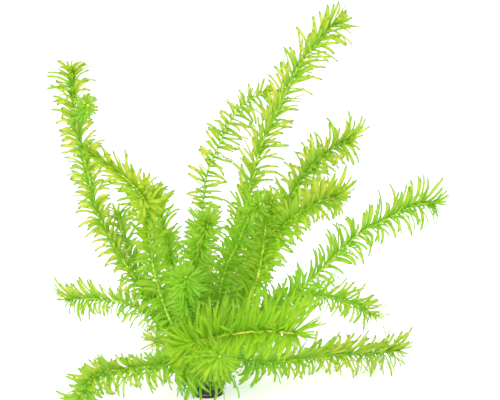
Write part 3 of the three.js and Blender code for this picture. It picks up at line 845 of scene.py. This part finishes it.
grow("floor_left_shoot", (-9.3, -8), [
    (-12, -10, 30), (-18, -14, 33), (-30, -23, 35), (-47, -38, 38), (-67, -54, 41), (-83, -67, 43),
    (-93, -80, 41), (-98, -90, 33), (-101, -99, 21), (-104, -109, 9)],
     leaf=20, width=2.3, pitch=3, per_whorl=6, bare=8, upper=-0.1, old=0.9, shade=0.15)


# The shoots at the right: a slender one behind, the tallest one, then three that fan out sideways,
# and two low ones, of which one droops and one lies along the ground.
grow("slender_shoot", (2.4, 4.2), [
    (0, 9, 42), (-5, 25, 77), (-7, 40, 110), (-5, 52, 148), (-1, 60, 183), (10, 64, 209),
    (23, 66, 235), (37, 66, 249), (55, 66, 258)],
     leaf=17, width=3.1, pitch=4.8, lean=1.3, curl=0.2, bare=60, upper=-0.3)
grow("tall_right_shoot", (4.8, 0), [
    (6, 2, 43), (15, 8, 92), (26, 12, 135), (38, 14, 184), (46, 14, 215), (58, 14, 241), (68, 12, 265),
    (78, 10, 285), (90, 7, 302), (102, 3, 317), (111, 0.4, 324)],
     leaf=22, width=2.8, pitch=5.2, per_whorl=6, lean=0.75, curl=0.25, bare=45, upper=0.1)
grow("upper_right_shoot", (7.2, 4.2), [
    (11, 7, 42), (27, 14, 81), (44, 18, 114), (59, 20, 142), (72, 20, 169), (83, 18, 190),
    (97, 15, 206), (112, 12.5, 218.5), (123, 10.5, 224)],
     leaf=21, width=2.7, pitch=4, per_whorl=7, bare=75, growing=6)
grow("middle_right_shoot", (7.2, -4.2), [
    (13, -5, 46), (32, -11, 90), (48, -17, 126), (61, -24, 152), (74, -31, 166), (92, -38, 180),
    (101, -41, 184.3), (109, -45, 186.5)],
     leaf=21, width=2.3, pitch=3.4, per_whorl=8, bare=70, growing=6, fresh=0.3)
grow("right_shoot", (9.6, 0), [
    (18, 1, 42), (38, 4, 61), (63, 8, 78), (83, 10, 93), (101, 12, 110), (122, 12, 132), (137, 12, 144),
    (154, 10, 154), (174, 8, 165), (185, 6.9, 168.6), (195, 5.4, 169.5)],
     leaf=22, width=2.6, pitch=4.3, per_whorl=5, lean=0.75, curl=0.9, shade=0.22, fresh=0.1,
     upper=0.15, bud=8.0)
grow("drooping_right_shoot", (11.4, 4), [
    (17, 6, 35), (28, 9, 51), (48, 14, 69), (68, 19, 78), (90, 23, 81), (113, 27, 79), (131, 29, 73),
    (145.5, 30, 63)],
     leaf=19, width=2.5, pitch=3.7, per_whorl=6, lean=0.85, curl=0.75, shade=0.1)
grow("floor_right_shoot", (9.3, 8), [
    (12, 9, 29), (18, 11, 30), (28, 15, 26), (42, 20, 21), (77, 33, 20), (102, 41, 20), (124, 47, 19),
    (145, 53, 18), (162, 58, 18), (174, 61, 19)],
     leaf=22, width=2.9, pitch=3.5, per_whorl=6, lean=0.9, curl=0.6, upper=0.2, old=1.3, droop=1.1,
     old_part=55)


# The crown in the middle: four shoots that stand close together and turn their tips to the front.
# The plant is densest here: their leaves are short and their whorls close.
grow("centre_shoot", (2.4, -4.2), [
    (7, -9, 43), (17, -17, 67), (31, -23, 85), (43, -25, 109), (49, -25, 141), (52, -27, 166),
    (56, -34, 183)],
     leaf=15, width=2.1, pitch=3, per_whorl=6, fresh=0.6, old=-0.2, old_part=70, parting=0.4)
grow("inner_centre_shoot", (0, 0), [
    (2, -3, 46), (9, -10, 84), (17, -16, 118), (27, -22, 141), (36, -30, 164), (46, -42, 180)],
     leaf=15, width=2.1, pitch=3, per_whorl=6, fresh=0.4, shade=0.3, old=-0.2, old_part=90)
grow("centre_left_shoot", (-2.4, -4.2), [
    (-4, -8, 44), (-8, -18, 90), (-8, -26, 125), (-2, -36, 148), (3, -46, 166)],
     leaf=19, width=2, pitch=2.6, per_whorl=8, bare=8, shade=0.2, old=0.2, bud_lean=0.4)
grow("short_front_shoot", (0, -8.3), [(-6, -14, 43), (-13, -30, 75), (-16, -44, 103), (-15, -64, 124)],
     leaf=17, width=1.8, pitch=2.4, per_whorl=8, bare=6, shade=0.45, old=0.4, bud_lean=0.6)


# The front shoots: the longest leaves of the plant, on a shoot that leans out over the pot and
# runs off to the right, and a short one that points at the viewer.
grow("front_shoot", (-4.8, -8.3), [
    (-10, -16, 33), (-14, -25, 45), (-14, -36, 56), (-6, -46, 63), (9, -54, 69), (26, -60, 74),
    (47, -68, 79), (62, -73.5, 80), (76, -78.5, 80)],
     leaf=27, width=2.1, pitch=2.2, per_whorl=10, lean=1.4, curl=0.1, bare=6, droop=1.3, growing=6,
     fresh=0.75, shade=0.05, old=0.4, bud_lean=0.8, parting=0.5)
grow("front_tip_shoot", (4.8, -8.3), [(5, -19, 31), (5, -34, 41), (7, -52, 50), (13, -70, 58)],
     leaf=23, width=1.9, pitch=2.6, per_whorl=7, lean=1.15, curl=0.6, bare=5, droop=1.5,
     roll=1.2, fresh=0.6, old=0.9, bud_lean=1.1)


# The shoots behind: three that fill the back of the bunch at different heights, and one that comes
# down to the ground.
grow("back_left_shoot", (-4.8, 8.3), [(-13, 20, 42), (-28, 48, 66), (-38, 84, 88), (-44, 114, 108)],
     leaf=19, width=3.1, pitch=4.6)
grow("back_right_shoot", (4.8, 8.3), [(9, 20, 44), (24, 52, 74), (38, 92, 100), (44, 124, 124)],
     leaf=20, width=3.1, pitch=4.6)
grow("back_shoot", (0, 8.3), [(-1, 22, 36), (-3, 56, 52), (-4, 96, 62), (-1, 134, 75)],
     leaf=20, width=3.1, pitch=4.6)
grow("floor_back_shoot", (-2.2, 11.6), [
    (-4, 15, 30), (-12, 25, 31), (-24, 49, 26), (-37, 82, 18), (-54, 112, 11)],
     leaf=18, width=2.9, pitch=4.4)
